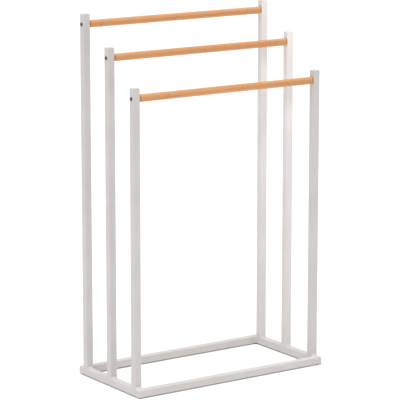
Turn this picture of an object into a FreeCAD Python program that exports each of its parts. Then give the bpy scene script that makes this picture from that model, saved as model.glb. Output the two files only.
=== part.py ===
import FreeCAD, Part
import math
import os

import Sketcher
from FreeCAD import Placement, Rotation, Vector

# A free-standing towel rack for a bathroom. A rectangular base of square steel tube carries three
# rows of posts, which step up from front to back. The base and the posts are welded together. Each
# row holds one round bamboo rod, bolted between its left and its right post.
#
# The origin is on the floor under the middle of the base. +X runs to the right as seen from the
# front, the front faces -Y, and +Z is up. All sizes are in millimetres.

# Driving dimensions: the alias, the value and what it measures.
DIMENSIONS = [
    ("rack_width", 600, "over the outer faces of the left and right posts"),
    ("rack_depth", 300, "over the front and the rear rail"),
    ("front_height", 820, "floor to the top of the front posts' caps"),
    ("middle_height", 912, "floor to the top of the middle posts' caps"),
    ("rear_height", 988, "floor to the top of the rear posts' caps"),
    ("tube_size", 20, "outer side of the square tube"),
    ("tube_wall", 1, "wall of the square tube"),
    ("tube_corner", 2, "outer corner radius of the square tube"),
    ("rod_diameter", 20, "bamboo rod"),
    ("rod_drop", 27.5, "top of a post's cap down to the rod's axis"),
    ("rod_chamfer", 1, "broken edge at each end of a rod"),
    ("cap_thickness", 2.5, "flange of a tube cap, outside the tube"),
    ("cap_edge", 1.2, "rounding round the flange's outer face"),
    ("cap_stem", 15, "length of a cap's stem inside the tube"),
    ("cap_core_gap", 1.8, "stem's core to the tube's bore, each side"),
    ("cap_rib", 1.2, "thickness of a rib on the stem"),
    ("cap_rib_pitch", 4, "from one rib on the stem to the next"),
    ("cap_gap", 0.1, "ribs to the tube's bore, each side"),
    ("bolt_diameter", 5, "shank of a rod bolt"),
    ("bolt_reach", 13, "how far a rod bolt runs into the rod"),
    ("bolt_hole_gap", 0.25, "shank to the holes in the post, all round"),
    ("head_diameter", 9.5, "button head of a rod bolt"),
    ("head_height", 2.75, "button head of a rod bolt"),
    ("socket_width", 3, "hexagon socket, across its flats"),
    ("socket_depth", 1.6, "hexagon socket"),
    ("insert_wall", 0.7, "wall of the threaded insert between its ridges"),
    ("insert_length", 15, "threaded insert"),
    ("insert_ridge", 1, "thickness of a ridge on the insert"),
    ("insert_ridge_rise", 0.7, "height of a ridge above the insert's wall"),
    ("insert_pitch", 3, "from one ridge on the insert to the next"),
    ("insert_gap", 0.1, "ridges to the rod's bore, and bolt to insert, all round"),
    ("bore_spare", 2, "rod's bore beyond the insert or the bolt"),
    ("post_weld", 6, "leg of the fillet weld at the foot of a post"),
    ("corner_weld", 5, "leg of the fillet weld in an inner corner of the base"),
    ("pad_diameter", 14, "foot pad"),
    ("pad_thickness", 2, "foot pad"),
    ("pad_edge", 0.4, "broken lower edge of a foot pad"),
]

# Sizes that follow from the driving dimensions, as expressions. Bores, roots and crests are radii.
HALF_WIDTH = "(Sizes.rack_width / 2)"
HALF_DEPTH = "(Sizes.rack_depth / 2)"
RAIL_TOP = "(Sizes.pad_thickness + Sizes.tube_size)"
RAIL_AXIS_HEIGHT = "(Sizes.pad_thickness + Sizes.tube_size / 2)"
RAIL_AXIS_DEPTH = "(Sizes.rack_depth / 2 - Sizes.tube_size / 2)"
FRAME_AXIS = "(Sizes.rack_width / 2 - Sizes.tube_size / 2)"
TUBE_BORE = "(Sizes.tube_size - 2 * Sizes.tube_wall)"
SMALLEST_CORNER = "0.3"
BORE_CORNER = f"max(Sizes.tube_corner - Sizes.tube_wall; {SMALLEST_CORNER})"
TUBE_FLAT = "(Sizes.tube_size - 2 * Sizes.tube_corner)"
ROD_LENGTH = "(Sizes.rack_width - 2 * Sizes.tube_size)"
INSERT_BORE = "(Sizes.bolt_diameter / 2 + Sizes.insert_gap)"
INSERT_ROOT = f"({INSERT_BORE} + Sizes.insert_wall)"
INSERT_CREST = f"({INSERT_ROOT} + Sizes.insert_ridge_rise)"
ROD_BORE = f"({INSERT_CREST} + Sizes.insert_gap)"
ROD_BORE_DEPTH = "(max(Sizes.insert_length; Sizes.bolt_reach) + Sizes.bore_spare)"

# The outer rows stand at the very ends of the side rails, and the middle row halfway.
END_ROW_DEPTH = "(Sizes.rack_depth / 2 - 1.5 * Sizes.tube_size)"
ROWS = [
    ("front", f"-{END_ROW_DEPTH}", "Sizes.front_height"),
    ("middle", "0", "Sizes.middle_height"),
    ("rear", END_ROW_DEPTH, "Sizes.rear_height"),
]
SIDES = [("left", -1), ("right", 1)]
ENDS = [("front", -1), ("rear", 1)]

CAP_RIBS = 3
INSERT_RIDGES = 5
TOLERANCE = 1e-6

UPRIGHT = Rotation()
ALONG_X = Rotation(Vector(0, 1, 0), 90)
ALONG_Y = Rotation(Vector(1, 0, 0), -90)
OUTWARD = {-1: Rotation(Vector(0, 1, 0), -90), 1: ALONG_X}

doc = FreeCAD.newDocument("TowelRack")
sheet = doc.addObject("Spreadsheet::Sheet", "Sizes")
nodes = []


# ---------------------------------------------------------------- spreadsheet and sketch helpers

def fill_sheet():
    """Write every driving dimension into the sheet as plain text, with its alias."""
    for row, (alias, value, meaning) in enumerate(DIMENSIONS, start=1):
        sheet.set(f"A{row}", alias)
        sheet.set(f"B{row}", str(value))
        sheet.set(f"C{row}", meaning)
        sheet.setAlias(f"B{row}", alias)
    doc.recompute()


def value_of(expression):
    """The present value of an expression in the sheet's aliases."""
    return float(sheet.evalExpression(expression))


def new_body(label):
    body = doc.addObject("PartDesign::Body", label)
    body.Label = label
    return body


def new_sketch(body, plane, offset="0"):
    """A sketch on one of the body's own origin planes, moved along its normal by an offset."""
    support = next(item for item in body.Origin.OriginFeatures if item.Role == plane)
    sketch = body.newObject("Sketcher::SketchObject", f"{body.Name}_sketch")
    sketch.AttachmentSupport = [(support, "")]
    sketch.MapMode = "FlatFace"
    sketch.setExpression("AttachmentOffset.Base.z", offset)
    return sketch


def bind(sketch, constraint, name, expression):
    """Add a dimension to the sketch and tie it to an expression."""
    index = sketch.addConstraint(constraint)
    sketch.renameConstraint(index, name)
    sketch.setExpression(f"Constraints.{name}", expression)


def draw_circle(sketch, radius, height="0"):
    """A circle on the sketch's vertical axis, at a height above its origin."""
    centre = Vector(0, value_of(height), 0)
    circle = sketch.addGeometry(Part.Circle(centre, Vector(0, 0, 1), value_of(radius)))
    if height == "0":
        sketch.addConstraint(Sketcher.Constraint("Coincident", circle, 3, -1, 1))
    else:
        sketch.addConstraint(Sketcher.Constraint("PointOnObject", circle, 3, -2))
        bind(sketch, Sketcher.Constraint("DistanceY", circle, 3, centre.y), f"height{circle}", height)
    bind(sketch, Sketcher.Constraint("Radius", circle, value_of(radius)), f"radius{circle}", radius)


def draw_rounded_square(sketch, side, corner):
    """A square with rounded corners, centred on the sketch's origin."""
    half = value_of(side) / 2
    radius = value_of(corner)
    flat = half - radius
    lines = []
    arcs = []
    for turn in range(4):
        spin = Rotation(Vector(0, 0, 1), 90 * turn)
        start = spin.multVec(Vector(-flat, -half, 0))
        end = spin.multVec(Vector(flat, -half, 0))
        circle = Part.Circle(spin.multVec(Vector(flat, -flat, 0)), Vector(0, 0, 1), radius)
        quarter = Part.ArcOfCircle(circle, math.radians(90 * turn - 90), math.radians(90 * turn))
        lines.append(sketch.addGeometry(Part.LineSegment(start, end)))
        arcs.append(sketch.addGeometry(quarter))
    for turn in range(4):
        following = lines[(turn + 1) % 4]
        sketch.addConstraint(Sketcher.Constraint("Tangent", lines[turn], 2, arcs[turn], 1))
        sketch.addConstraint(Sketcher.Constraint("Tangent", arcs[turn], 2, following, 1))
        direction = "Horizontal" if turn % 2 == 0 else "Vertical"
        sketch.addConstraint(Sketcher.Constraint(direction, lines[turn]))
    for arc in arcs[1:]:
        sketch.addConstraint(Sketcher.Constraint("Equal", arcs[0], arc))
    sketch.addConstraint(Sketcher.Constraint("Symmetric", arcs[0], 3, arcs[2], 3, -1, 1))
    across = Sketcher.Constraint("DistanceX", lines[3], 1, lines[1], 1, 2 * half)
    upward = Sketcher.Constraint("DistanceY", lines[0], 1, lines[2], 1, 2 * half)
    bind(sketch, across, f"across{lines[0]}", side)
    bind(sketch, upward, f"upward{lines[0]}", side)
    bind(sketch, Sketcher.Constraint("Radius", arcs[0], radius), f"corner{lines[0]}", corner)


def draw_polygon(sketch, corners):
    """A closed outline whose corners are given as pairs of expressions."""
    points = [Vector(value_of(across), value_of(upward), 0) for across, upward in corners]
    lines = []
    for start, end in zip(points, points[1:] + points[:1]):
        lines.append(sketch.addGeometry(Part.LineSegment(start, end)))
    for line, following in zip(lines, lines[1:] + lines[:1]):
        sketch.addConstraint(Sketcher.Constraint("Coincident", line, 2, following, 1))
    for line, point, (across, upward) in zip(lines, points, corners):
        if across == "0":
            sketch.addConstraint(Sketcher.Constraint("PointOnObject", line, 1, -2))
        else:
            bind(sketch, Sketcher.Constraint("DistanceX", line, 1, point.x), f"across{line}", across)
        if upward == "0":
            sketch.addConstraint(Sketcher.Constraint("PointOnObject", line, 1, -1))
        else:
            bind(sketch, Sketcher.Constraint("DistanceY", line, 1, point.y), f"upward{line}", upward)


# ---------------------------------------------------------------- feature helpers

def add_pad(body, sketch, length, reverse=False, both_ways=False):
    pad = body.newObject("PartDesign::Pad", f"{body.Name}_pad")
    pad.Profile = sketch
    pad.setExpression("Length", length)
    pad.Reversed = reverse
    if both_ways:
        pad.SideType = "Symmetric"
    doc.recompute()
    return pad


def add_pocket(body, sketch, depth=None):
    """Cut the sketch into the body: to a depth against its normal, or right through both ways."""
    before = body.Tip.Shape.Volume
    pocket = body.newObject("PartDesign::Pocket", f"{body.Name}_pocket")
    pocket.Profile = sketch
    if depth is None:
        pocket.Type = "ThroughAll"
        pocket.SideType = "Symmetric"
    else:
        pocket.setExpression("Length", depth)
    doc.recompute()
    if pocket.Shape.Volume > before - TOLERANCE:
        raise RuntimeError(f"{pocket.Name} cuts nothing")


def edges_at(feature, height):
    """The names of the feature's edges that lie level at a height."""
    level = value_of(height)
    names = []
    for index, edge in enumerate(feature.Shape.Edges, start=1):
        box = edge.BoundBox
        if abs(box.ZMin - level) < TOLERANCE and abs(box.ZMax - level) < TOLERANCE:
            names.append(f"Edge{index}")
    return names


def round_edges(body, feature, height, radius):
    fillet = body.newObject("PartDesign::Fillet", f"{body.Name}_fillet")
    fillet.Base = (feature, edges_at(feature, height))
    fillet.setExpression("Radius", radius)
    doc.recompute()


def break_edges(body, feature, height, size):
    chamfer = body.newObject("PartDesign::Chamfer", f"{body.Name}_chamfer")
    chamfer.Base = (feature, edges_at(feature, height))
    chamfer.setExpression("Size", size)
    doc.recompute()


def repeat_down(body, feature, sketch, pitch, count):
    """Repeat a feature against its sketch's normal."""
    pattern = body.newObject("PartDesign::LinearPattern", f"{body.Name}_pattern")
    pattern.Originals = [feature]
    pattern.Direction = (sketch, ["N_Axis"])
    pattern.Reversed = True
    pattern.Mode = "Spacing"
    pattern.setExpression("Offset", pitch)
    pattern.Occurrences = count
    body.Tip = pattern
    doc.recompute()


def place(item, rotation, x="0", y="0", z="0"):
    """Turn an object and tie its position to expressions."""
    item.Placement = Placement(Vector(0, 0, 0), rotation)
    item.setExpression("Placement.Base.x", x)
    item.setExpression("Placement.Base.y", y)
    item.setExpression("Placement.Base.z", z)


def group(label, members):
    """One sub-part made of several separate solids."""
    compound = doc.addObject("Part::Compound", label)
    compound.Label = label
    compound.Links = members
    return compound


# ---------------------------------------------------------------- pieces, each about its own origin

def make_tube(label, length):
    """Square tube that starts at the origin and runs up Z."""
    body = new_body(label)
    profile = new_sketch(body, "XY_Plane")
    draw_rounded_square(profile, "Sizes.tube_size", "Sizes.tube_corner")
    draw_rounded_square(profile, TUBE_BORE, BORE_CORNER)
    add_pad(body, profile, length)
    return body


def make_post(label, height):
    """Square tube from the rail's top to the cap, drilled across for the rod bolt."""
    body = make_tube(label, f"{height} - Sizes.cap_thickness - {RAIL_TOP}")
    drilling = new_sketch(body, "YZ_Plane")
    hole_radius = "Sizes.bolt_diameter / 2 + Sizes.bolt_hole_gap"
    draw_circle(drilling, hole_radius, f"{height} - Sizes.rod_drop - {RAIL_TOP}")
    add_pocket(body, drilling)
    return body


def make_cap(label):
    """Ribbed tube cap. Its flange rests on the tube's end at the origin, and its stem hangs below."""
    body = new_body(label)
    flange_outline = new_sketch(body, "XY_Plane")
    draw_rounded_square(flange_outline, "Sizes.tube_size", "Sizes.tube_corner")
    flange = add_pad(body, flange_outline, "Sizes.cap_thickness")
    round_edges(body, flange, "Sizes.cap_thickness", "Sizes.cap_edge")

    core_outline = new_sketch(body, "XY_Plane")
    draw_rounded_square(core_outline, f"{TUBE_BORE} - 2 * Sizes.cap_core_gap", BORE_CORNER)
    add_pad(body, core_outline, "Sizes.cap_stem", reverse=True)

    last_rib = f"Sizes.cap_stem - {CAP_RIBS - 1} * Sizes.cap_rib_pitch - Sizes.cap_rib"
    rib_outline = new_sketch(body, "XY_Plane", offset=f"-({last_rib})")
    draw_rounded_square(rib_outline, f"{TUBE_BORE} - 2 * Sizes.cap_gap", BORE_CORNER)
    rib = add_pad(body, rib_outline, "Sizes.cap_rib", reverse=True)
    repeat_down(body, rib, rib_outline, "Sizes.cap_rib_pitch", CAP_RIBS)
    return body


def make_rod(label):
    """Round rod along Z about the origin, bored at both ends for the threaded inserts."""
    body = new_body(label)
    half = f"{ROD_LENGTH} / 2"
    radius = "Sizes.rod_diameter / 2"
    section = new_sketch(body, "XZ_Plane")
    draw_polygon(section, [
        ("0", f"-({half} - {ROD_BORE_DEPTH})"),
        (ROD_BORE, f"-({half} - {ROD_BORE_DEPTH})"),
        (ROD_BORE, f"-({half})"),
        (f"{radius} - Sizes.rod_chamfer", f"-({half})"),
        (radius, f"-({half} - Sizes.rod_chamfer)"),
        (radius, f"{half} - Sizes.rod_chamfer"),
        (f"{radius} - Sizes.rod_chamfer", half),
        (ROD_BORE, half),
        (ROD_BORE, f"{half} - {ROD_BORE_DEPTH}"),
        ("0", f"{half} - {ROD_BORE_DEPTH}"),
    ])
    revolution = body.newObject("PartDesign::Revolution", f"{label}_revolution")
    revolution.Profile = section
    revolution.ReferenceAxis = (section, ["V_Axis"])
    revolution.Angle = 360
    doc.recompute()
    return body


def make_bolt(label):
    """Button-head bolt with a hexagon socket. Its head rests on the origin, and its shank hangs below."""
    body = new_body(label)
    head_outline = new_sketch(body, "XY_Plane")
    draw_circle(head_outline, "Sizes.head_diameter / 2")
    head = add_pad(body, head_outline, "Sizes.head_height")
    round_edges(body, head, "Sizes.head_height", "0.8 * Sizes.head_height")

    shank_outline = new_sketch(body, "XY_Plane")
    draw_circle(shank_outline, "Sizes.bolt_diameter / 2")
    shank_length = "(Sizes.tube_size + Sizes.bolt_reach)"
    shank = add_pad(body, shank_outline, shank_length, reverse=True)
    break_edges(body, shank, f"-{shank_length}", "0.1 * Sizes.bolt_diameter")

    socket = new_sketch(body, "XY_Plane", offset="Sizes.head_height")
    reach = "Sizes.socket_width / sqrt(3)"
    draw_polygon(socket, [
        (reach, "0"),
        (f"{reach} / 2", "Sizes.socket_width / 2"),
        (f"-{reach} / 2", "Sizes.socket_width / 2"),
        (f"-{reach}", "0"),
        (f"-{reach} / 2", "-Sizes.socket_width / 2"),
        (f"{reach} / 2", "-Sizes.socket_width / 2"),
    ])
    add_pocket(body, socket, "Sizes.socket_depth")
    return body


def make_insert(label):
    """Threaded insert with gripping ridges. Its mouth is at the origin, and it runs down from there."""
    body = new_body(label)
    sleeve_outline = new_sketch(body, "XY_Plane")
    draw_circle(sleeve_outline, INSERT_ROOT)
    draw_circle(sleeve_outline, INSERT_BORE)
    add_pad(body, sleeve_outline, "Sizes.insert_length", reverse=True)

    ridge_outline = new_sketch(body, "XY_Plane")
    draw_circle(ridge_outline, INSERT_CREST)
    draw_circle(ridge_outline, INSERT_BORE)
    ridge = add_pad(body, ridge_outline, "Sizes.insert_ridge", reverse=True)
    repeat_down(body, ridge, ridge_outline, "Sizes.insert_pitch", INSERT_RIDGES)
    return body


def make_bead(label, leg, length):
    """Fillet weld along X about the origin, between a face that runs along +Y and one up +Z."""
    body = new_body(label)
    section = new_sketch(body, "YZ_Plane")
    draw_polygon(section, [("0", "0"), (leg, "0"), ("0", leg)])
    add_pad(body, section, length, both_ways=True)
    return body


def make_pad(label):
    """Round foot pad that stands on the origin."""
    body = new_body(label)
    outline = new_sketch(body, "XY_Plane")
    draw_circle(outline, "Sizes.pad_diameter / 2")
    disc = add_pad(body, outline, "Sizes.pad_thickness")
    break_edges(body, disc, "0", "Sizes.pad_edge")
    return body


# ---------------------------------------------------------------- the rack

def build_base():
    """Front and rear rails over the full width, with the side rails between them."""
    for end, forward in ENDS:
        rail = make_tube(f"{end}_rail", "Sizes.rack_width - 2 * Sizes.cap_thickness")
        start = f"-({HALF_WIDTH} - Sizes.cap_thickness)"
        place(rail, ALONG_X, x=start, y=f"{forward} * {RAIL_AXIS_DEPTH}", z=RAIL_AXIS_HEIGHT)
        nodes.append(rail)
    for side, outward in SIDES:
        rail = make_tube(f"{side}_side_rail", "Sizes.rack_depth - 2 * Sizes.tube_size")
        start = f"-({HALF_DEPTH} - Sizes.tube_size)"
        place(rail, ALONG_Y, x=f"{outward} * {FRAME_AXIS}", y=start, z=RAIL_AXIS_HEIGHT)
        nodes.append(rail)
    for end, forward in ENDS:
        for side, outward in SIDES:
            build_base_corner(f"{end}_{side}", forward, outward)


def build_base_corner(corner, forward, outward):
    """The rail's end plug, the weld in the inner corner and the foot pad at one corner of the base."""
    plug = make_cap(f"{corner}_rail_plug")
    plug_face = f"{outward} * ({HALF_WIDTH} - Sizes.cap_thickness)"
    place(plug, OUTWARD[outward], x=plug_face, y=f"{forward} * {RAIL_AXIS_DEPTH}", z=RAIL_AXIS_HEIGHT)
    nodes.append(plug)

    weld = make_bead(f"{corner}_corner_weld", "Sizes.corner_weld", TUBE_FLAT)
    upright = Rotation(Vector(0, 1, 0), -90)
    quarter_turns = {(-1, -1): 270, (-1, 1): 0, (1, -1): 180, (1, 1): 90}
    turn = Rotation(Vector(0, 0, 1), quarter_turns[(forward, outward)])
    inner_x = f"{outward} * ({HALF_WIDTH} - Sizes.tube_size)"
    inner_y = f"{forward} * ({HALF_DEPTH} - Sizes.tube_size)"
    place(weld, turn.multiply(upright), x=inner_x, y=inner_y, z=RAIL_AXIS_HEIGHT)
    nodes.append(weld)

    pad = make_pad(f"{corner}_foot_pad")
    place(pad, UPRIGHT, x=f"{outward} * {FRAME_AXIS}", y=f"{forward} * {RAIL_AXIS_DEPTH}")
    nodes.append(pad)


def build_row(row, depth, height):
    """One row: its two posts with their welds and caps, the rod between them and what fastens it."""
    bolts = []
    inserts = []
    rod_height = f"{height} - Sizes.rod_drop"
    for side, outward in SIDES:
        post_x = f"{outward} * {FRAME_AXIS}"
        post = make_post(f"{side}_{row}_post", height)
        place(post, UPRIGHT, x=post_x, y=depth, z=RAIL_TOP)
        nodes.append(post)

        cap = make_cap(f"{side}_{row}_post_cap")
        place(cap, UPRIGHT, x=post_x, y=depth, z=f"{height} - Sizes.cap_thickness")
        nodes.append(cap)

        beads = []
        for face, forward in ENDS:
            bead = make_bead(f"{side}_{row}_{face}_bead", "Sizes.post_weld", TUBE_FLAT)
            turn = Rotation(Vector(0, 0, 1), 180 if forward < 0 else 0)
            place(bead, turn, x=post_x, y=f"{depth} + {forward} * Sizes.tube_size / 2", z=RAIL_TOP)
            beads.append(bead)
        nodes.append(group(f"{side}_{row}_post_weld", beads))

        bolt = make_bolt(f"{side}_{row}_bolt")
        place(bolt, OUTWARD[outward], x=f"{outward} * {HALF_WIDTH}", y=depth, z=rod_height)
        bolts.append(bolt)

        insert = make_insert(f"{side}_{row}_insert")
        rod_end = f"{outward} * {ROD_LENGTH} / 2"
        place(insert, OUTWARD[outward], x=rod_end, y=depth, z=rod_height)
        inserts.append(insert)

    rod = make_rod(f"{row}_rod")
    place(rod, ALONG_X, y=depth, z=rod_height)
    nodes.append(rod)
    return bolts, inserts


def build_rack():
    build_base()
    bolts = []
    inserts = []
    for row, depth, height in ROWS:
        row_bolts, row_inserts = build_row(row, depth, height)
        bolts.extend(row_bolts)
        inserts.extend(row_inserts)
    nodes.append(group("rod_bolts", bolts))
    nodes.append(group("rod_inserts", inserts))
    doc.recompute()


def check_document():
    """Stop if any object failed, or if a sub-part has no sound shape."""
    for item in doc.Objects:
        if "Invalid" in item.State or "Error" in item.State:
            raise RuntimeError(f"{item.Label} failed: {item.State}")
    for node in nodes:
        if node.Shape.isNull() or not node.Shape.isValid():
            raise RuntimeError(f"{node.Label} has no sound shape")


def export_nodes():
    os.makedirs("parts", exist_ok=True)
    for node in nodes:
        node.Shape.exportStep(f"parts/{node.Label}.step")
        print(f"{node.Label}: {len(node.Shape.Solids)} solid(s), {node.Shape.Volume:.0f} mm3")


fill_sheet()
build_rack()
check_document()
export_nodes()
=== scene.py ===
"""A free-standing towel rack: a welded base and posts of square tube, with three bamboo rods.

Lengths are in metres. The rack stands on the floor at z = 0, with its front towards -Y.
"""

import math

import bpy
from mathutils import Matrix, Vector


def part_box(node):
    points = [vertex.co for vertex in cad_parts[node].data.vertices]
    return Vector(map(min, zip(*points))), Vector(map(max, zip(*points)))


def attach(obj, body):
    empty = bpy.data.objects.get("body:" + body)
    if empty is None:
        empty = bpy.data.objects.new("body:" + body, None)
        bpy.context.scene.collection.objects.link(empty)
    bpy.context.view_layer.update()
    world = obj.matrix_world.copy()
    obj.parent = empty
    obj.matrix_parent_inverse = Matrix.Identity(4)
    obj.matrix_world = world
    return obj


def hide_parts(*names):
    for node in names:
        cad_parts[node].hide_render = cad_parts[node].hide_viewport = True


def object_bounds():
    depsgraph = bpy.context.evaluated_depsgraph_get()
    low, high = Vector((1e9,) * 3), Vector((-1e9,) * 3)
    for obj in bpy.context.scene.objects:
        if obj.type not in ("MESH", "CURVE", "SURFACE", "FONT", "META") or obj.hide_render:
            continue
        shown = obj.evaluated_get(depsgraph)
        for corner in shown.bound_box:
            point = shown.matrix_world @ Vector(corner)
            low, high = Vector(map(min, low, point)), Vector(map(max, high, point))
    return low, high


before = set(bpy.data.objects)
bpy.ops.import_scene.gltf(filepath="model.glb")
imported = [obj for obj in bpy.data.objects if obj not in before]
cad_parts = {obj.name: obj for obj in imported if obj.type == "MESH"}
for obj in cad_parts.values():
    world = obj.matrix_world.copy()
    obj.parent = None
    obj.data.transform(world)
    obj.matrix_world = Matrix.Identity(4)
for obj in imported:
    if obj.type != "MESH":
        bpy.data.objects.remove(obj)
cad_low, cad_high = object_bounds()

MM = 0.001
TINY = 0.01 * MM
QUARTER_TURN = math.radians(90)
EIGHTH_TURN = math.radians(45)

# A direction lies along an axis above ALONG, and across it below ACROSS.
ALONG = 0.9
ACROSS = 0.1

# ------------------------------------------------------------------ sizes read from the frame

SIDES = {"left": -1, "right": 1}
ENDS = {"front": -1, "rear": 1}
ROWS = ("front", "middle", "rear")
POSTS = [f"{side}_{row}_post" for row in ROWS for side in SIDES]
RAILS = ["front_rail", "rear_rail", "left_side_rail", "right_side_rail"]


def centre_of(node):
    low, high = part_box(node)
    return (Vector(low) + Vector(high)) / 2


def top_of(node):
    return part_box(node)[1][2]


def size_of(node, axis):
    low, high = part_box(node)
    return high[axis] - low[axis]


TUBE_SIZE = size_of("left_front_post", 0)
RAIL_TOP = top_of("front_rail")
RAIL_AXIS = centre_of("front_rail").z
CAP_THICKNESS = top_of("left_front_post_cap") - top_of("left_front_post")
CAP_STEM = size_of("left_front_post_cap", 2) - CAP_THICKNESS
FRAME_HALF_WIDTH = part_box("right_side_rail")[1][0]
ROD_RADIUS = size_of("front_rod", 2) / 2
POST_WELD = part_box("left_middle_post_weld")[1][2] - RAIL_TOP
CORNER_WELD = size_of("front_left_corner_weld", 0)
PAD_RADIUS = size_of("front_left_foot_pad", 0) / 2
PAD_THICKNESS = size_of("front_left_foot_pad", 2)

# ------------------------------------------------------------------ sizes that the frame doesn't give

TUBE_WALL = 1.0 * MM
TUBE_CORNER = 2.0 * MM
TUBE_BORE = TUBE_SIZE - 2 * TUBE_WALL
CUT_EDGE = 0.2 * MM

CAP_EDGE = 1.2 * MM
CAP_RIB = 1.2 * MM
CAP_RIB_PITCH = 4.0 * MM
CAP_RIBS = 3
CAP_CORE = TUBE_BORE - 3.6 * MM
CAP_RIB_SIZE = TUBE_BORE - 0.2 * MM

ROD_CHAMFER = 1.0 * MM
ROD_BORE = 4.1 * MM
ROD_BORE_DEPTH = 17.0 * MM
ROD_TURNS = {"front": 0.35, "middle": 1.10, "rear": -0.60}
ROD_SEEDS = {"front": 3.0, "middle": 10.0, "rear": 17.0}

BOLT_RADIUS = 2.5 * MM
BOLT_HOLE = 2.75 * MM
BOLT_PITCH = 0.8 * MM
BOLT_LENGTH = TUBE_SIZE + 13.0 * MM
BOLT_TIP_SCALE = 0.75
THREAD_DEPTH = 0.5 * BOLT_PITCH
HEAD_RADIUS = 4.75 * MM
HEAD_HEIGHT = 2.75 * MM
HEAD_DOME = 0.84 * HEAD_HEIGHT
HEAD_EDGE = 0.08 * MM
SOCKET_WIDTH = 3.0 * MM
SOCKET_DEPTH = 1.6 * MM

PAD_EDGE = 0.4 * MM

# A fillet's throat and breadth are in proportion to its leg.
FILLET_PUDDLE = 5.0 * MM
FILLET_PITCH = 1.6 * MM
FILLET_THROAT = 0.70
FILLET_BREADTH = 2.4
FILLET_UNEVENNESS = 0.03
FILLET_END_GAP = 1.0 * MM
WELD_ROOT = 0.7 * TUBE_WALL
FILL_PUDDLE = 7.0 * MM
FILL_PITCH = 1.5 * MM
FILL_RADIUS = 1.9 * MM
FILL_DEPTH = 1.3 * MM
FILL_END_GAP = 2.8 * MM
FILL_OFFSET = 1.0 * MM
FILL_RISE = 0.04 * MM
WELD_VOXEL = 0.25 * MM

# ------------------------------------------------------------------ floor, light and camera settings

FLOOR_SIZE = 60
FLOOR_TONE = 0.88
SURROUND_STRENGTH = 0.40
OVERHEAD_DIRECTION = (-0.14, -0.11, 0.90)
OVERHEAD_ENERGY = 3.0
OVERHEAD_SPREAD = 50
REAR_FILL_PLACE = (-0.30, -1.10, 1.25)
REAR_FILL_SIZE = 0.5
REAR_FILL_ENERGY = 8.6
CAMERA_AZIMUTH = -34.49
CAMERA_ELEVATION = 11.44
CAMERA_DISTANCE = 6.128
CAMERA_AIM_OFFSET = (-0.0041, 0, -0.0195)
CAMERA_LENS = 203.7
CAMERA_SENSOR = 36
CAMERA_CLIP_END = 100


# ------------------------------------------------------------------ modelling helpers

def object_mode():
    if bpy.context.mode != "OBJECT":
        bpy.ops.object.mode_set(mode="OBJECT")


def deselect_all():
    object_mode()
    bpy.ops.object.select_all(action="DESELECT")


def work_on(piece):
    """Make one piece the only selected and active one."""
    deselect_all()
    piece.select_set(True)
    bpy.context.view_layer.objects.active = piece


def settle(name):
    """Name the new primitive and put its place into its mesh."""
    piece = bpy.context.object
    piece.name = name
    piece.data.name = name
    bpy.ops.object.transform_apply(location=True, rotation=True, scale=True)
    return piece


def add_box(name, low, high):
    deselect_all()
    low, high = Vector(low), Vector(high)
    bpy.ops.mesh.primitive_cube_add(size=1, location=(low + high) / 2, scale=high - low)
    return settle(name)


def add_cylinder(name, radius, length, centre=(0, 0, 0), turn=(0, 0, 0), sides=48, ends="NGON"):
    deselect_all()
    bpy.ops.mesh.primitive_cylinder_add(
        vertices=sides, radius=radius, depth=length, location=centre, rotation=turn, end_fill_type=ends)
    return settle(name)


def pick(piece, kind, test):
    """Select the faces, edges or vertices that pass a test, and stay in edit mode.

    A face is tested on its centre and normal, an edge on its middle and direction, and a vertex on its
    place alone.
    """
    work_on(piece)
    bpy.ops.object.mode_set(mode="EDIT")
    bpy.ops.mesh.select_mode(type=kind)
    bpy.ops.mesh.select_all(action="DESELECT")
    bpy.ops.object.mode_set(mode="OBJECT")
    mesh = piece.data
    if kind == "FACE":
        for face in mesh.polygons:
            face.select = test(face.center, face.normal)
    elif kind == "EDGE":
        for edge in mesh.edges:
            start, end = (mesh.vertices[index].co for index in edge.vertices)
            edge.select = test((start + end) / 2, (end - start).normalized())
    else:
        for vertex in mesh.vertices:
            vertex.select = test(vertex.co)
    bpy.ops.object.mode_set(mode="EDIT")


def apply_modifier(piece, kind, **settings):
    work_on(piece)
    modifier = piece.modifiers.new(kind.lower(), kind)
    for setting, value in settings.items():
        setattr(modifier, setting, value)
    bpy.ops.object.modifier_apply(modifier=modifier.name)


def smooth_hard_edged(piece):
    """Smooth shading that keeps the flat faces flat and the sharp edges sharp."""
    work_on(piece)
    bpy.ops.object.shade_smooth_by_angle(angle=math.radians(35))
    apply_modifier(piece, "WEIGHTED_NORMAL", keep_sharp=True, weight=60)


def cut_away(piece, cutter):
    apply_modifier(piece, "BOOLEAN", operation="DIFFERENCE", solver="EXACT", object=cutter)
    bpy.data.objects.remove(cutter, do_unlink=True)


def extrude(offset):
    bpy.ops.mesh.extrude_region_move(TRANSFORM_OT_translate={"value": offset})


def put_copy(master, name, place, turn=(0, 0, 0), mirror=(1, 1, 1)):
    """A copy of a master with a mesh of its own, moved and turned to its place."""
    deselect_all()
    piece = master.copy()
    piece.data = master.data.copy()
    bpy.context.collection.objects.link(piece)
    piece.name = name
    piece.data.name = name
    piece.location = place
    piece.rotation_euler = turn
    piece.scale = mirror
    work_on(piece)
    bpy.ops.object.transform_apply(location=True, rotation=True, scale=True)
    return piece


def recalculate_normals(piece):
    work_on(piece)
    bpy.ops.object.mode_set(mode="EDIT")
    bpy.ops.mesh.select_all(action="SELECT")
    bpy.ops.mesh.normals_make_consistent(inside=False)
    object_mode()


def stand_for(piece, node, material):
    """Let a finished piece stand for its CAD node and its material."""
    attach(piece, "root")
    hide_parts(node)
    piece.data.materials.clear()
    piece.data.materials.append(material)


# ------------------------------------------------------------------ material helpers

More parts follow.
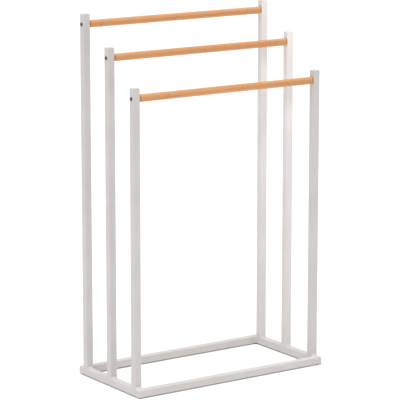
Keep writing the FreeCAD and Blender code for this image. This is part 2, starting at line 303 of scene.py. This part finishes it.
class Finish:
    """A material under construction, with short ways to add and join its nodes."""

    def __init__(self, name):
        self.material = bpy.data.materials.new(name)
        self.material.use_nodes = True
        self.tree = self.material.node_tree
        self.shader = self.tree.nodes["Principled BSDF"]
        self.place = self.tree.nodes.new("ShaderNodeTexCoord").outputs["Object"]

    def set(self, **values):
        """Set sockets of the main shader: base_color=... sets Base Color."""
        for name, value in values.items():
            socket = name.replace("_", " ").title().replace("Ior", "IOR")
            self.shader.inputs[socket].default_value = value

    def add(self, kind, inputs=None, **settings):
        node = self.tree.nodes.new(kind)
        for name, value in settings.items():
            setattr(node, name, value)
        for key, value in (inputs or {}).items():
            if isinstance(value, bpy.types.NodeSocket):
                self.tree.links.new(value, node.inputs[key])
            else:
                node.inputs[key].default_value = value
        return node

    def mapped(self, shift=(0, 0, 0), turn=(0, 0, 0), scale=(1, 1, 1)):
        """The object's own coordinates, moved, turned and stretched."""
        moved = self.add("ShaderNodeMapping", {"Vector": self.place, "Location": shift})
        turned = self.add("ShaderNodeMapping", {
            "Vector": moved.outputs[0], "Rotation": turn, "Scale": scale,
        })
        return turned.outputs[0]

    def noise(self, scale, detail=2.0, roughness=0.5, vector=None):
        return self.add("ShaderNodeTexNoise", {
            "Vector": vector or self.place, "Scale": scale, "Detail": detail, "Roughness": roughness,
        }).outputs["Fac"]

    def math(self, operation, first, second=0.0):
        return self.add("ShaderNodeMath", {0: first, 1: second}, operation=operation).outputs[0]

    def ramp(self, value, low, high, to_low=0.0, to_high=1.0):
        """Stretch a range of a value onto another, smoothly and clamped."""
        return self.add("ShaderNodeMapRange", {
            0: value, 1: low, 2: high, 3: to_low, 4: to_high,
        }, interpolation_type="SMOOTHSTEP").outputs["Result"]

    def blend(self, factor, first, second):
        return self.add("ShaderNodeMix", {0: factor, 6: first, 7: second}, data_type="RGBA").outputs[2]

    def bump(self, height, distance, strength=1.0, under=None):
        inputs = {"Height": height, "Distance": distance, "Strength": strength}
        if under is not None:
            inputs["Normal"] = under
        return self.add("ShaderNodeBump", inputs).outputs[0]

    def join(self, output, socket):
        self.tree.links.new(output, self.shader.inputs[socket])


def colour(red, green, blue):
    return (red, green, blue, 1.0)


# ------------------------------------------------------------------ materials

def powder_coat():
    """Satin white powder coat over steel: fine orange peel, soft unevenness and a few faint scuffs."""
    finish = Finish("white_powder_coat")
    fine = finish.noise(900, detail=3, roughness=0.6)
    soft = finish.noise(160, detail=2)
    patches = finish.noise(14, detail=3)
    specks = finish.ramp(finish.noise(650, detail=1), 0.74, 0.80)
    scuffs = finish.ramp(finish.noise(45, detail=6, roughness=0.7), 0.66, 0.74)
    darker = colour(0.637, 0.607, 0.593)
    lighter = colour(0.671, 0.641, 0.628)
    tone = finish.blend(finish.ramp(patches, 0.3, 0.7), darker, lighter)
    tone = finish.blend(finish.math("MULTIPLY", specks, 0.25), tone, colour(0.60, 0.58, 0.56))
    tone = finish.blend(finish.math("MULTIPLY", scuffs, 0.10), tone, colour(0.62, 0.60, 0.57))
    finish.join(tone, "Base Color")
    gloss = finish.ramp(finish.noise(38, detail=4), 0.3, 0.7, 0.34, 0.44)
    finish.join(finish.math("ADD", gloss, finish.math("MULTIPLY", scuffs, 0.12)), "Roughness")
    relief = finish.bump(soft, 0.08 * MM, 0.5)
    finish.join(finish.bump(fine, 0.06 * MM, 0.7, relief), "Normal")
    finish.set(ior=1.5)
    return finish.material


def moulded_plastic():
    """White polyethylene with the fine grain of a spark-eroded mould."""
    finish = Finish("white_moulded_plastic")
    grain = finish.noise(2600, detail=2, roughness=0.7)
    cloud = finish.noise(120, detail=3)
    darker = colour(0.644, 0.618, 0.605)
    lighter = colour(0.677, 0.651, 0.640)
    tone = finish.blend(finish.ramp(cloud, 0.3, 0.7), darker, lighter)
    finish.join(tone, "Base Color")
    finish.join(finish.ramp(cloud, 0.3, 0.7, 0.42, 0.54), "Roughness")
    finish.join(finish.bump(grain, 0.02 * MM, 0.8), "Normal")
    finish.set(ior=1.5, subsurface_weight=0.04, subsurface_scale=0.002)
    return finish.material


def bamboo(name, axis_place, half_length, turn, seed):
    """Lacquered bamboo, turned round from glued strips: fibres, glue lines and the strips' nodes."""
    strip_width = 5.6 * MM
    strip_offset = 20.5
    node_spacing = 0.235
    finish = Finish(name)
    shift = (-axis_place.x, -axis_place.y, -axis_place.z)
    grain_shift = (0.37 * seed, -axis_place.y, -axis_place.z)
    place = finish.mapped(shift, turn)
    axes = finish.add("ShaderNodeSeparateXYZ", {0: place}).outputs
    across = finish.math("ADD", finish.math("DIVIDE", axes["Y"], strip_width), strip_offset)
    strip = finish.math("FLOOR", across)
    own_number = {"W": finish.math("ADD", strip, seed)}
    chance = finish.add("ShaderNodeTexWhiteNoise", own_number, noise_dimensions="1D").outputs["Value"]
    edge = finish.math("ABSOLUTE", finish.math("SUBTRACT", finish.math("FRACT", across), 0.5))
    glue_line = finish.ramp(edge, 0.478, 0.497)

    along = finish.math("ADD", finish.math("DIVIDE", axes["X"], node_spacing), chance)
    waver = finish.math("MULTIPLY", finish.math("SUBTRACT", finish.noise(260, vector=place), 0.5), 0.006)
    from_node = finish.math("SUBTRACT", finish.math("FRACT", along), 0.5)
    from_node = finish.math("ABSOLUTE", finish.math("ADD", from_node, waver))
    node_band = finish.ramp(from_node, 0.004, 0.016, 1.0, 0.0)
    node_line = finish.ramp(from_node, 0.0012, 0.0030, 1.0, 0.0)

    fibre_place = finish.mapped(grain_shift, turn, (9, 1500, 1500))
    fibres = finish.noise(1.0, detail=4, roughness=0.65, vector=fibre_place)
    streak_place = finish.mapped(grain_shift, turn, (2.5, 420, 420))
    streaks = finish.noise(1.0, detail=2, vector=streak_place)
    bundle_place = finish.mapped(grain_shift, turn, (30, 2600, 2600))
    bundles = finish.noise(1.0, detail=1, vector=bundle_place)
    dashes = finish.ramp(bundles, 0.60, 0.70)

    tone = finish.blend(chance, colour(0.610, 0.280, 0.108), colour(0.720, 0.345, 0.148))
    tone = finish.blend(finish.ramp(streaks, 0.35, 0.65), tone, colour(0.770, 0.385, 0.172))
    tone = finish.blend(finish.ramp(fibres, 0.35, 0.70, 0.0, 0.35), tone, colour(0.500, 0.225, 0.080))
    tone = finish.blend(finish.math("MULTIPLY", dashes, 0.35), tone, colour(0.400, 0.175, 0.062))
    tone = finish.blend(finish.math("MULTIPLY", node_band, 0.30), tone, colour(0.520, 0.235, 0.085))
    tone = finish.blend(finish.math("MULTIPLY", node_line, 0.55), tone, colour(0.270, 0.115, 0.040))
    tone = finish.blend(finish.math("MULTIPLY", glue_line, 0.40), tone, colour(0.360, 0.160, 0.058))
    # Painted shade: the last few millimetres at each rod end are darkened to stand in for the contact
    # shadow where the rod meets the post.
    from_middle = finish.math("ABSOLUTE", axes["X"])
    painted_end_shade = finish.ramp(from_middle, half_length - 5 * MM, half_length - 1.5 * MM)
    tone = finish.blend(finish.math("MULTIPLY", painted_end_shade, 0.60), tone, colour(0.250, 0.120, 0.050))
    finish.join(tone, "Base Color")
    finish.join(finish.ramp(fibres, 0.3, 0.7, 0.42, 0.55), "Roughness")
    grooves = finish.bump(dashes, -0.03 * MM, 0.6)
    finish.join(finish.bump(fibres, 0.03 * MM, 0.5, grooves), "Normal")
    finish.set(ior=1.5, specular_ior_level=0.35)
    return finish.material


def dark_steel():
    """Black oxide on a steel bolt: dark, slightly mottled, a little polished where it is handled."""
    finish = Finish("black_oxide_steel")
    mottle = finish.noise(700, detail=4)
    grain = finish.noise(4200, detail=1)
    darker = colour(0.072, 0.074, 0.076)
    lighter = colour(0.132, 0.132, 0.132)
    tone = finish.blend(finish.ramp(mottle, 0.35, 0.65), darker, lighter)
    finish.join(tone, "Base Color")
    finish.join(finish.ramp(mottle, 0.3, 0.7, 0.32, 0.50), "Roughness")
    finish.join(finish.bump(grain, 0.01 * MM, 0.7), "Normal")
    finish.set(metallic=0.85)
    return finish.material


def zinc_steel():
    """Zinc plating on the threaded inserts, with its faint spangle."""
    finish = Finish("zinc_plated_steel")
    cells = finish.add("ShaderNodeTexVoronoi", {"Vector": finish.place, "Scale": 900.0})
    spangle = cells.outputs["Distance"]
    darker = colour(0.50, 0.50, 0.48)
    lighter = colour(0.66, 0.66, 0.64)
    tone = finish.blend(finish.ramp(spangle, 0.1, 0.8), darker, lighter)
    finish.join(tone, "Base Color")
    finish.join(finish.ramp(spangle, 0.0, 0.8, 0.28, 0.45), "Roughness")
    finish.join(finish.bump(spangle, 0.01 * MM, 0.5), "Normal")
    finish.set(metallic=1.0)
    return finish.material


def grey_rubber():
    """Matt grey rubber of the foot pads, a little dusty."""
    finish = Finish("grey_rubber")
    grain = finish.noise(1800, detail=3)
    dust = finish.noise(300, detail=4)
    darker = colour(0.300, 0.296, 0.290)
    lighter = colour(0.390, 0.385, 0.378)
    tone = finish.blend(finish.ramp(dust, 0.4, 0.7), darker, lighter)
    finish.join(tone, "Base Color")
    finish.join(finish.ramp(dust, 0.3, 0.7, 0.72, 0.88), "Roughness")
    finish.join(finish.bump(grain, 0.05 * MM, 0.8), "Normal")
    return finish.material


# ------------------------------------------------------------------ pieces

def model_tube(node, material):
    """Square tube with rounded corners and a real wall, its cut ends lightly deburred."""
    low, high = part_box(node)
    lengths = Vector(high) - Vector(low)
    axis = max(range(3), key=lambda index: lengths[index])
    piece = add_box(f"{node}_tube", low, high)
    pick(piece, "FACE", lambda centre, normal: abs(normal[axis]) > ALONG)
    bpy.ops.mesh.delete(type="ONLY_FACE")
    pick(piece, "EDGE", lambda middle, direction: abs(direction[axis]) > ALONG)
    bpy.ops.mesh.bevel(offset=TUBE_CORNER, segments=6, profile=0.5)
    object_mode()
    apply_modifier(piece, "SOLIDIFY", thickness=TUBE_WALL, offset=-1, use_even_offset=True)
    apply_modifier(piece, "BEVEL", width=CUT_EDGE, segments=2, limit_method="ANGLE",
                   angle_limit=math.radians(60))
    stand_for(piece, node, material)
    return piece


def drill_post(post, row):
    """Drill the post across for the rod bolt, through both walls."""
    place = centre_of(f"{row}_rod")
    place.x = centre_of(post.name.replace("_tube", "")).x
    drill = add_cylinder("drill", BOLT_HOLE, 2 * TUBE_SIZE, place, (0, QUARTER_TURN, 0), sides=32)
    cut_away(post, drill)


def model_cap():
    """One tube cap about the origin: its flange above, and its ribbed stem below."""
    half = TUBE_SIZE / 2
    cap = add_box("cap_master", (-half, -half, 0), (half, half, CAP_THICKNESS))
    pick(cap, "EDGE", lambda middle, direction: abs(direction.z) > ALONG)
    bpy.ops.mesh.bevel(offset=TUBE_CORNER, segments=6, profile=0.5)
    pick(cap, "EDGE", lambda middle, direction: middle.z > CAP_THICKNESS - TINY)
    bpy.ops.mesh.bevel(offset=CAP_EDGE, segments=4, profile=0.5)
    pick(cap, "EDGE", lambda middle, direction: middle.z < TINY)
    bpy.ops.mesh.bevel(offset=CUT_EDGE, segments=2, profile=0.5)
    pick(cap, "FACE", lambda centre, normal: normal.z < -ALONG and centre.z < TINY)
    bpy.ops.mesh.inset(thickness=(TUBE_SIZE - CAP_CORE) / 2 - CUT_EDGE)
    widen = CAP_RIB_SIZE / CAP_CORE
    gap = CAP_RIB_PITCH - CAP_RIB
    extrude((0, 0, -(CAP_STEM - CAP_RIBS * CAP_RIB - (CAP_RIBS - 1) * gap)))
    for rib in range(CAP_RIBS):
        extrude((0, 0, 0))
        bpy.ops.transform.resize(value=(widen, widen, 1))
        extrude((0, 0, -CAP_RIB))
        if rib < CAP_RIBS - 1:
            extrude((0, 0, 0))
            bpy.ops.transform.resize(value=(1 / widen, 1 / widen, 1))
            extrude((0, 0, -gap))
    object_mode()
    smooth_hard_edged(cap)
    return cap


def model_rod(node, material):
    """Round rod with lightly broken ends, bored for its two threaded inserts."""
    length = size_of(node, 0)
    middle = centre_of(node)
    rod = add_cylinder(f"{node}_bamboo", ROD_RADIUS, length, middle, (0, QUARTER_TURN, 0), sides=64)
    half = length / 2
    pick(rod, "EDGE", lambda spot, direction: abs(abs(spot.x) - half) < TINY and abs(direction.x) < ACROSS)
    bpy.ops.mesh.bevel(offset=ROD_CHAMFER, segments=3, profile=0.5)
    for outward in SIDES.values():
        pick(rod, "FACE", lambda spot, normal: normal.x * outward > 0.99)
        bpy.ops.mesh.inset(thickness=ROD_RADIUS - ROD_CHAMFER - ROD_BORE)
        extrude((-outward * ROD_BORE_DEPTH, 0, 0))
    object_mode()
    smooth_hard_edged(rod)
    stand_for(rod, node, material)


def model_bolt():
    """One button-head bolt about the origin: its domed head above, and a shank of thread rings below."""
    head = add_cylinder("bolt_master", HEAD_RADIUS, HEAD_HEIGHT, (0, 0, HEAD_HEIGHT / 2), sides=48)
    pick(head, "EDGE", lambda spot, direction: spot.z > HEAD_HEIGHT - TINY)
    bpy.ops.mesh.bevel(offset=HEAD_DOME, segments=8, profile=0.5)
    pick(head, "EDGE", lambda spot, direction: spot.z < TINY and abs(direction.z) < ACROSS)
    bpy.ops.mesh.bevel(offset=CUT_EDGE, segments=2, profile=0.5)
    object_mode()
    socket_radius = SOCKET_WIDTH / math.sqrt(3)
    middle_of_cut = (0, 0, HEAD_HEIGHT)
    cut_away(head, add_cylinder("hexagon", socket_radius, 2 * SOCKET_DEPTH, middle_of_cut, sides=6))
    apply_modifier(head, "BEVEL", width=HEAD_EDGE, segments=2, limit_method="ANGLE",
                   angle_limit=math.radians(50))

    turns = round((BOLT_LENGTH - 2 * BOLT_PITCH) / BOLT_PITCH)
    root = BOLT_RADIUS - THREAD_DEPTH
    first_crest = (0, 0, -1.5 * BOLT_PITCH)
    thread = add_cylinder("thread", root, BOLT_PITCH, first_crest, sides=24, ends="NOTHING")
    pick(thread, "EDGE", lambda spot, direction: abs(direction.z) > ALONG)
    bpy.ops.mesh.subdivide(number_cuts=1)
    pick(thread, "VERT", lambda spot: abs(spot.z - first_crest[2]) < TINY)
    crest = BOLT_RADIUS / root
    bpy.ops.transform.resize(value=(crest, crest, 1), center_override=first_crest)
    object_mode()
    apply_modifier(thread, "ARRAY", count=turns, use_relative_offset=False, use_constant_offset=True,
                   constant_offset_displace=(0, 0, -BOLT_PITCH), use_merge_vertices=True,
                   merge_threshold=TINY)
    lowest = min(vertex.co.z for vertex in thread.data.vertices)
    pick(thread, "EDGE", lambda spot, direction: spot.z < lowest + TINY)
    bpy.ops.mesh.extrude_edges_move(TRANSFORM_OT_translate={"value": (0, 0, -BOLT_LENGTH - lowest)})
    bpy.ops.transform.resize(value=(BOLT_TIP_SCALE, BOLT_TIP_SCALE, 1))
    bpy.ops.mesh.edge_face_add()
    pick(thread, "EDGE", lambda spot, direction: spot.z > -BOLT_PITCH - TINY)
    into_head = (0, 0, BOLT_PITCH + 0.5 * HEAD_HEIGHT)
    bpy.ops.mesh.extrude_edges_move(TRANSFORM_OT_translate={"value": into_head})
    bpy.ops.mesh.edge_face_add()
    object_mode()

    work_on(thread)
    head.select_set(True)
    bpy.context.view_layer.objects.active = head
    bpy.ops.object.join()
    recalculate_normals(head)
    smooth_hard_edged(head)
    return head


def model_foot_pad():
    """One round foot pad that stands on the origin, with softly worn edges."""
    pad = add_cylinder("pad_master", PAD_RADIUS, PAD_THICKNESS, (0, 0, PAD_THICKNESS / 2), sides=48)
    pick(pad, "EDGE", lambda spot, direction: abs(direction.z) < ACROSS)
    bpy.ops.mesh.bevel(offset=PAD_EDGE, segments=4, profile=0.5)
    object_mode()
    smooth_hard_edged(pad)
    return pad


def add_bead(start, end, reach, pitch, turn=(0, 0, 0), unevenness=0.0):
    """A run of weld puddles, each overlapping the one before it and none quite like the next.

    The reach is a puddle's half-sizes, before it is turned.
    """
    start, end = Vector(start), Vector(end)
    count = round((end - start).length / pitch) + 1
    step = (end - start) / (count - 1)
    puddles = []
    for index in range(count):
        size = Vector(reach) * (1 + unevenness * math.sin(2.4 * index + 40 * start.length / MM))
        place = start + index * step
        deselect_all()
        bpy.ops.mesh.primitive_ico_sphere_add(
            subdivisions=4, radius=1, location=place, rotation=turn, scale=size)
        puddles.append(settle("puddle"))
    bead = join_pieces("bead", puddles)
    fuse(bead)
    return bead


def join_pieces(name, pieces):
    deselect_all()
    for piece in pieces:
        piece.select_set(True)
    bpy.context.view_layer.objects.active = pieces[0]
    bpy.ops.object.join()
    joined = bpy.context.object
    joined.name = name
    return joined


def fuse(bead):
    """Melt overlapping shells into one smooth skin."""
    apply_modifier(bead, "REMESH", mode="VOXEL", voxel_size=WELD_VOXEL)
    apply_modifier(bead, "SMOOTH", factor=0.5, iterations=3)


def keep_within(piece, low, high):
    """Trim the piece to a box, with closed cuts."""
    trim = add_box("trim", low, high)
    apply_modifier(piece, "BOOLEAN", operation="INTERSECT", solver="EXACT", object=trim)
    bpy.data.objects.remove(trim, do_unlink=True)


def finish_seam(name, beads):
    seam = join_pieces(name, beads)
    recalculate_normals(seam)
    bpy.ops.object.shade_smooth_by_angle(angle=math.radians(50))
    return seam


def flush_fill(start, end, outward, level):
    """A weld in the groove along a tube's rounded edge, ground down to just above the tube's face."""
    axis = max(range(3), key=lambda index: abs(outward[index]))
    start, end = Vector(start), Vector(end)
    for point in (start, end):
        point[axis] = outward[axis] * (level - FILL_DEPTH)
    reach = [FILL_PUDDLE / 2 if abs(part) > ALONG else FILL_RADIUS for part in (end - start).normalized()]
    fill = add_bead(start, end, reach, FILL_PITCH)
    low, high = Vector((-TUBE_SIZE,) * 3), Vector((TUBE_SIZE,) * 3)
    bound = high if outward[axis] > 0 else low
    bound[axis] = outward[axis] * (level + FILL_RISE)
    keep_within(fill, low, high)
    return fill


def model_post_weld():
    """The seam round the foot of a post, about the foot's centre: two fillets and two flush fills."""
    half = TUBE_SIZE / 2
    run = half - FILLET_END_GAP - FILLET_PUDDLE / 2
    size = (FILLET_PUDDLE / 2, FILLET_BREADTH * POST_WELD, FILLET_THROAT * POST_WELD)
    beads = []
    for forward in (-1, 1):
        start, end = ((side * run, forward * half, 0) for side in (-1, 1))
        turn = (-forward * EIGHTH_TURN, 0, 0)
        bead = add_bead(start, end, size, FILLET_PITCH, turn, FILLET_UNEVENNESS)
        lowest_y, highest_y = sorted((forward * (half - WELD_ROOT), forward * 2 * TUBE_SIZE))
        keep_within(bead, (-half, lowest_y, -WELD_ROOT), (half, highest_y, TUBE_SIZE))
        beads.append(bead)
    for outward in (-1, 1):
        start = (0, FILL_END_GAP - half, -FILL_OFFSET)
        end = (0, half - FILL_END_GAP, -FILL_OFFSET)
        beads.append(flush_fill(start, end, (outward, 0, 0), half))
    return finish_seam("post_weld_master", beads)


def model_corner_weld():
    """The seam of a base corner, about its inner upright edge: one fillet and two flush fills.

    The cross rail is on the -Y side and the side rail on the -X side.
    """
    half = TUBE_SIZE / 2
    run = half - FILLET_END_GAP - FILLET_PUDDLE / 2
    size = (FILLET_THROAT * CORNER_WELD, FILLET_BREADTH * CORNER_WELD, FILLET_PUDDLE / 2)
    turn = (0, 0, EIGHTH_TURN)
    fillet = add_bead((0, 0, -run), (0, 0, run), size, FILLET_PITCH, turn, FILLET_UNEVENNESS)
    keep_within(fillet, (-WELD_ROOT, -WELD_ROOT, -half), (TUBE_SIZE, TUBE_SIZE, half))
    beads = [fillet]
    for upward in (-1, 1):
        start = (CAP_THICKNESS + FILL_END_GAP - TUBE_SIZE, -FILL_OFFSET, 0)
        end = (-FILL_END_GAP, -FILL_OFFSET, 0)
        beads.append(flush_fill(start, end, (0, 0, upward), half))
    return finish_seam("corner_weld_master", beads)


# ------------------------------------------------------------------ the rack

def build_tubes(coat):
    for node in RAILS:
        smooth_hard_edged(model_tube(node, coat))
    for row in ROWS:
        for side in SIDES:
            post = model_tube(f"{side}_{row}_post", coat)
            drill_post(post, row)
            smooth_hard_edged(post)


def build_caps(plastic):
    master = model_cap()
    for post in POSTS:
        place = centre_of(post)
        place.z = top_of(post)
        cap = put_copy(master, f"{post}_cap_plastic", place)
        stand_for(cap, f"{post}_cap", plastic)
    for end in ENDS:
        for side, outward in SIDES.items():
            place = centre_of(f"{end}_rail")
            place.x = outward * (FRAME_HALF_WIDTH - CAP_THICKNESS)
            node = f"{end}_{side}_rail_plug"
            plug = put_copy(master, f"{node}_plastic", place, (0, outward * QUARTER_TURN, 0))
            stand_for(plug, node, plastic)
    bpy.data.objects.remove(master)


def build_rods():
    for row in ROWS:
        node = f"{row}_rod"
        half_length = size_of(node, 0) / 2
        turn = (ROD_TURNS[row], 0, 0)
        grain = bamboo(f"bamboo_{row}", centre_of(node), half_length, turn, ROD_SEEDS[row])
        model_rod(node, grain)


def build_bolts(steel):
    master = model_bolt()
    for row in ROWS:
        for side, outward in SIDES.items():
            place = centre_of(f"{row}_rod")
            place.x = outward * FRAME_HALF_WIDTH
            bolt = put_copy(master, f"{side}_{row}_rod_bolt", place, (0, outward * QUARTER_TURN, 0))
            stand_for(bolt, "rod_bolts", steel)
    bpy.data.objects.remove(master)


def build_welds(coat):
    master = model_post_weld()
    for post in POSTS:
        place = centre_of(post)
        place.z = RAIL_TOP
        seam = put_copy(master, f"{post}_weld_seam", place)
        stand_for(seam, f"{post}_weld", coat)
    bpy.data.objects.remove(master)

    master = model_corner_weld()
    inner_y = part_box("left_side_rail")[1][1]
    for end, forward in ENDS.items():
        for side, outward in SIDES.items():
            node = f"{end}_{side}_corner_weld"
            place = Vector((outward * (FRAME_HALF_WIDTH - TUBE_SIZE), forward * inner_y, RAIL_AXIS))
            seam = put_copy(master, f"{node}_seam", place, mirror=(-outward, -forward, 1))
            recalculate_normals(seam)
            stand_for(seam, node, coat)
    bpy.data.objects.remove(master)


def build_foot_pads(rubber):
    master = model_foot_pad()
    for end in ENDS:
        for side in SIDES:
            node = f"{end}_{side}_foot_pad"
            place = centre_of(node)
            place.z = 0
            pad = put_copy(master, f"{node}_rubber", place)
            stand_for(pad, node, rubber)
    bpy.data.objects.remove(master)


def finish_inserts(zinc):
    """The threaded inserts keep their own shape, and get a plated finish."""
    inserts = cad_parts["rod_inserts"]
    inserts.data.materials.clear()
    inserts.data.materials.append(zinc)


# ------------------------------------------------------------------ floor, light and camera

def lay_floor():
    """A plain pale floor, bright enough to run into the background."""
    deselect_all()
    bpy.ops.mesh.primitive_plane_add(size=FLOOR_SIZE)
    floor = settle("studio_floor")
    finish = Finish("studio_floor_white")
    finish.set(base_color=colour(FLOOR_TONE, FLOOR_TONE, FLOOR_TONE), roughness=0.9, specular_ior_level=0.1)
    floor.data.materials.append(finish.material)


def light_studio():
    """An even white surround, and one broad soft light from above and a little to the left."""
    world = bpy.data.worlds.new("studio")
    world.use_nodes = True
    background = world.node_tree.nodes["Background"]
    background.inputs["Color"].default_value = colour(1, 1, 1)
    background.inputs["Strength"].default_value = SURROUND_STRENGTH
    bpy.context.scene.world = world
    bpy.context.scene.view_settings.view_transform = "Standard"
    towards_light = Vector(OVERHEAD_DIRECTION)
    deselect_all()
    bpy.ops.object.light_add(type="SUN", location=3 * towards_light)
    light = bpy.context.object
    light.name = "overhead_softbox"
    light.data.energy = OVERHEAD_ENERGY
    light.data.angle = math.radians(OVERHEAD_SPREAD)
    light.rotation_euler = (-towards_light).to_track_quat("-Z", "Y").to_euler()


def light_rear_right():
    """A small fill, aimed high, that lights only the middle and the rear post on the right."""
    lit = bpy.data.collections.new("rear_right_lit")
    for row in ("middle", "rear"):
        lit.objects.link(bpy.data.objects[f"right_{row}_post_tube"])
        lit.objects.link(bpy.data.objects[f"right_{row}_post_cap_plastic"])
    place = Vector(REAR_FILL_PLACE)
    target = centre_of("right_rear_post")
    target.z = top_of("right_middle_post")
    deselect_all()
    bpy.ops.object.light_add(type="AREA", location=place)
    fill = bpy.context.object
    fill.name = "rear_right_fill"
    fill.data.size = REAR_FILL_SIZE
    fill.data.energy = REAR_FILL_ENERGY
    fill.rotation_euler = (target - place).to_track_quat("-Z", "Y").to_euler()
    fill.light_linking.receiver_collection = lit


def place_camera():
    """The camera looks down a little on the rack's front left corner, from well away."""
    azimuth = math.radians(CAMERA_AZIMUTH)
    elevation = math.radians(CAMERA_ELEVATION)
    aim = (cad_low + cad_high) / 2 + Vector(CAMERA_AIM_OFFSET)
    level = math.cos(elevation)
    back = Vector((math.sin(azimuth) * level, -math.cos(azimuth) * level, math.sin(elevation)))
    deselect_all()
    bpy.ops.object.camera_add(location=aim + CAMERA_DISTANCE * back)
    camera = bpy.context.object
    camera.rotation_euler = (-back).to_track_quat("-Z", "Y").to_euler()
    camera.data.lens = CAMERA_LENS
    camera.data.sensor_width = CAMERA_SENSOR
    camera.data.clip_end = CAMERA_CLIP_END
    bpy.context.scene.camera = camera


def build_rack():
    coat = powder_coat()
    build_tubes(coat)
    build_welds(coat)
    build_caps(moulded_plastic())
    build_rods()
    build_bolts(dark_steel())
    build_foot_pads(grey_rubber())
    finish_inserts(zinc_steel())


build_rack()
lay_floor()
light_studio()
light_rear_right()
place_camera()
object_mode()
